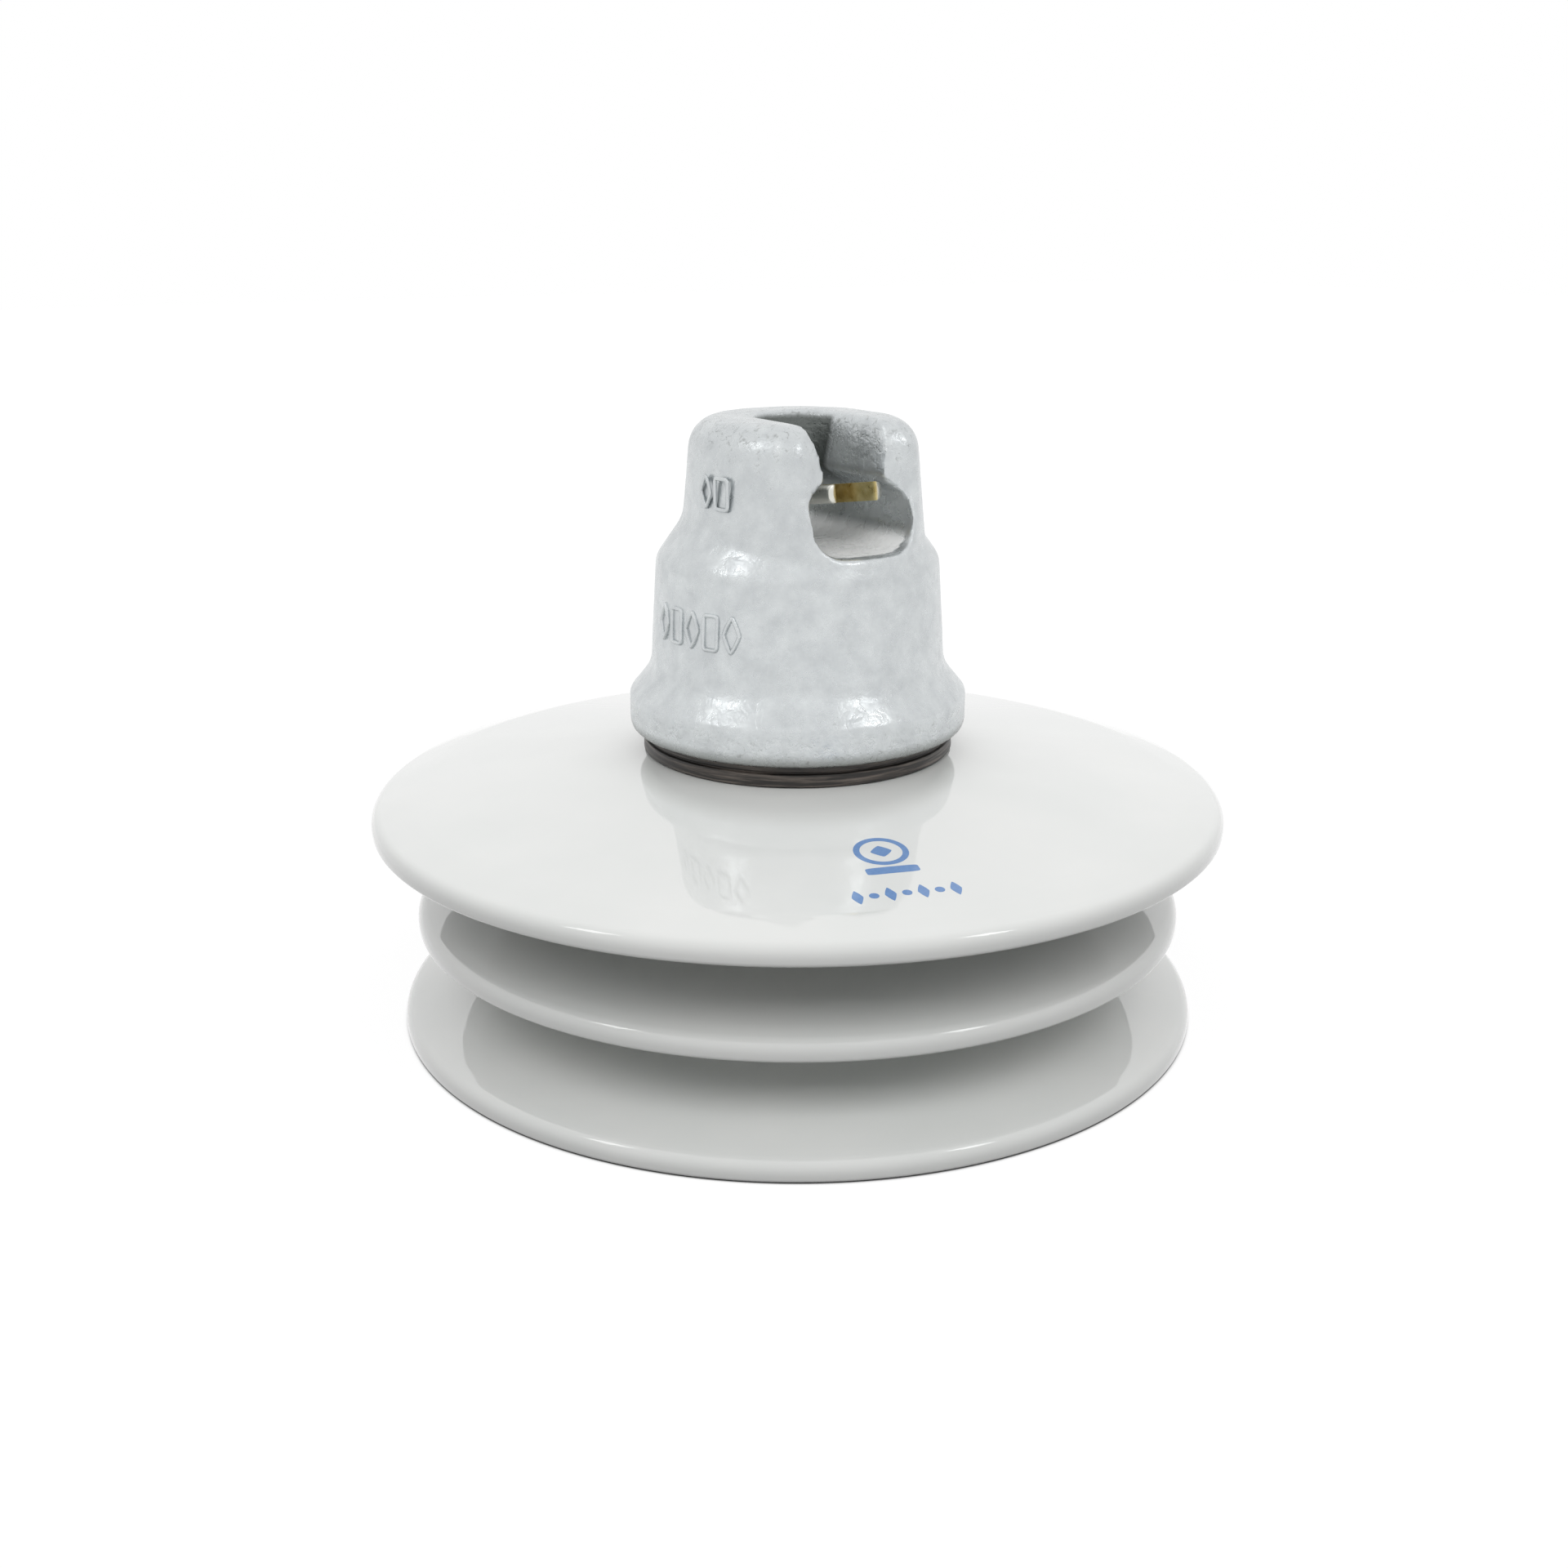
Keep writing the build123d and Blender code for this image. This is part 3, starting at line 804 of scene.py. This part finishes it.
def makeCastMarks(m, cap):
    # rows of raised lozenges and boxes, evenly spaced round the cap
    profile, mouth = capProfile(cap), mouthProfile(cap)
    profile = profile[(profile[:, 1] > m["lowest"]) & (profile[:, 1] < m["highest"])]
    mouth = mouth[(mouth[:, 1] > m["neckLowest"]) & (mouth[:, 1] < m["highest"])]
    grids = []
    for row in (m["neck"], m["body"]):
        count = len(row["roundness"])
        for i, roundness in enumerate(row["roundness"]):
            line = superellipse(row["width"], row["tall"], roundness, m["around"])
            shift = (i - (count - 1) / 2) * row["pitch"]
            grids.append(raisedLine(line, m, profile, mouth, cap["mouthReach"], row, shift))
    addPiece("castMarks", joinedMesh("castMarks", grids), zincedIron)


makeCastMarks(castMarks, castCap)
print("stage: cast marks")


firedMark = {
    "azimuth": -18.0, "radius": 124.0, "proud": 0.05, "thin": 0.25, "around": 72, "least": 0.01,
    "rootClear": 8.0, "rimClear": 1.5,
    "ring": {"place": (0.0, 15.0), "size": (19.0, 19.0), "stroke": 2.2},
    "stud": {"place": (0.0, 15.0), "size": (7.5, 7.5)},
    "bar": {"place": (0.0, 2.0), "size": (18.5, 4.4)},
    "row": {"place": (0.0, -13.4), "count": 7, "pitch": 5.6, "size": (3.9, 8.6), "dot": (3.4, 3.4)},
}


def shedTop(m, s):
    # the upper face of the top shed, as heights over rising radii
    line = shellOutline(s)
    face = line[(line[:, 0] > s["headRadius"] + m["rootClear"])
                & (line[:, 1] > s["rimFoot"][2] + s["rimHeight"] + m["rimClear"])]
    return face[np.argsort(face[:, 0])]


def layOnShed(flat, m, face, out):
    # flat x runs along the mark's line and y towards the cap; the point is lifted out mm off the glaze
    across, inward = flat[..., 0], flat[..., 1]
    azimuth = radians(m["azimuth"])
    x = across * cos(azimuth) + (m["radius"] - inward) * sin(azimuth)
    y = across * sin(azimuth) - (m["radius"] - inward) * cos(azimuth)
    radius = np.hypot(x, y)
    return np.stack([x, y, np.interp(radius, face[:, 0], face[:, 1]) + out], -1)


def inkPatch(outer, inner, m, face):
    # a thin closed band between two lines of as many points: the face above, the back below
    rings = [(inner, -m["thin"]), (inner, m["proud"]), (outer, m["proud"]), (outer, -m["thin"])]
    return np.stack([layOnShed(line, m, face, out) for line, out in rings], 1)


def makeFiredMark(m, s):
    # an open ring with a lozenge in it, a bar, and a row of lozenges and dots
    face = shedTop(m, s)
    patches = []

    def oval(place, size, roundness, stroke):
        # a superellipse and a smaller one within it by the stroke; the ink is between them
        sizes = (np.maximum(np.array(size) - 2 * inset, m["least"]) for inset in (0, stroke))
        outer, inner = (superellipse(*each, roundness, m["around"]) for each in sizes)
        patches.append(inkPatch(outer + place, inner + place, m, face))

    ring, stud, bar, row = m["ring"], m["stud"], m["bar"], m["row"]
    oval(ring["place"], ring["size"], 2.0, ring["stroke"])
    oval(stud["place"], stud["size"], 1.2, stud["size"][1] / 2)
    oval(bar["place"], bar["size"], 7.0, bar["size"][1] / 2)
    for i in range(row["count"]):
        place = np.array(row["place"]) + ((i - (row["count"] - 1) / 2) * row["pitch"], 0)
        size, roundness = (row["dot"], 2.0) if i % 2 else (row["size"], 1.2)
        oval(place, size, roundness, size[1] / 2)
    addPiece("firedMark", joinedMesh("firedMark", patches), blueInk, smooth=False)


makeFiredMark(firedMark, shell)
print("stage: fired mark")


splitWire = {
    "wire": 3.4, "squareness": 2.5, "legGap": 0.4, "eye": 4.0, "eyeBend": 5.0, "leftLeg": 76.5,
    "rightLeg": 57.0, "splay": 20.0, "splayRound": 12.0, "splayLength": 27.5, "tilt": 8.5,
    "start": (49.5, 193.8), "step": 0.6, "longStep": 2.0, "around": 40, "endEase": 0.25, "endSize": 0.9,
    "middle": 0.42, "sheenEdge": 3.0,
}


def arc(centre, radius, first, last, step):
    # points of an arc about a centre, from one angle to another, about step apart
    turn = np.linspace(first, last, max(int(abs(last - first) * radius / step), 3) + 1)
    return np.array(centre) + radius * np.stack([np.cos(turn), np.sin(turn)], -1)


def wireLine(w):
    # the line of the wire's flat side: a leg, a bend, the round eye, a bend, and the other leg,
    # which turns aside near its end; x runs to the slot and y to the right
    near = w["legGap"] / 2
    bendY, reach = near + w["eyeBend"], w["eye"] + w["eyeBend"]
    eyeX = -np.sqrt(reach ** 2 - bendY ** 2)
    toEye = np.arctan2(bendY, eyeX)
    splay, turned = radians(w["splay"]), w["rightLeg"] + w["splayRound"] * sin(radians(w["splay"]))
    aside = near + w["splayRound"] * (1 - cos(splay))
    tip = (turned + w["splayLength"] * cos(splay), aside + w["splayLength"] * sin(splay))
    return evenly(np.concatenate([
        [(w["leftLeg"], -near)],
        arc((0, -bendY), w["eyeBend"], pi / 2, toEye, w["step"]),
        arc((eyeX, 0), w["eye"], toEye - pi, -toEye - pi, w["step"])[1:-1],
        arc((0, bendY), w["eyeBend"], -toEye, -pi / 2, w["step"]),
        arc((w["rightLeg"], near + w["splayRound"]), w["splayRound"], -pi / 2, splay - pi / 2, w["step"]),
        [tip]]), w["longStep"])


def makeSplitPin(w):
    # a half-round section carried along that line with its round side outwards, closed at both tips
    line = wireLine(w)
    ahead = np.gradient(line, axis=0)
    ahead /= np.hypot(*ahead.T)[:, None]
    outward = np.stack([-ahead[:, 1], ahead[:, 0]], -1)
    section = superellipse(2 * w["wire"], 2 * w["wire"], w["squareness"], w["around"])
    section[:, 0] = np.maximum(section[:, 0], 0)
    ease, size = w["endEase"], np.ones(len(line) + 4)
    size[[0, 1, -2, -1]] = 0, w["endSize"], w["endSize"], 0
    line = np.concatenate([line[:1], line[:1], line[:1] + ahead[:1] * ease, line[1:-1],
                           line[-1:] - ahead[-1:] * ease, line[-1:], line[-1:]])
    outward = np.concatenate([outward[:1]] * 2 + [outward] + [outward[-1:]] * 2)
    middle = np.array([w["wire"] * w["middle"], 0])
    rings = middle + (section - middle)[None] * size[:, None, None]
    flat = line[:, None, :] + outward[:, None, :] * rings[..., :1]
    tilt = radians(w["tilt"])
    along, lift = np.array([0, -cos(tilt), sin(tilt)]), np.array([0, sin(tilt), cos(tilt)])
    points = np.array([0, *w["start"]]) + flat[..., :1] * along + flat[..., 1:] * (1, 0, 0)
    points = points + rings[..., 1:] * lift
    mesh = gridMesh("splitWire", points * mm, wrapV=True)
    # painted reflection: a share that is full on the wire's round side, for the pale silver painted there
    roundSideSheen = mesh.attributes.new("roundSideSheen", "FLOAT", "POINT")
    roundSideSheen.data.foreach_set("value", np.clip(rings[..., 0] / w["wire"] * w["sheenEdge"], 0, 1).ravel())
    mergeAndTurnOut(mesh)
    piece = addPiece("splitWire", mesh, brass, body="split_pin")
    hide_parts("split_pin")


makeSplitPin(splitWire)
print("stage: split pin")


# the pieces that stay as built only get their finish
for nodeName, material in {"pin": zincedIron, "pin_cement": cement, "cap_cushion": cork,
                           "pin_cushion": rubber}.items():
    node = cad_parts[nodeName]
    node.data.materials.clear()
    node.data.materials.append(material)
print("stage: finishes")

bpy.context.scene.view_settings.view_transform = "Standard"
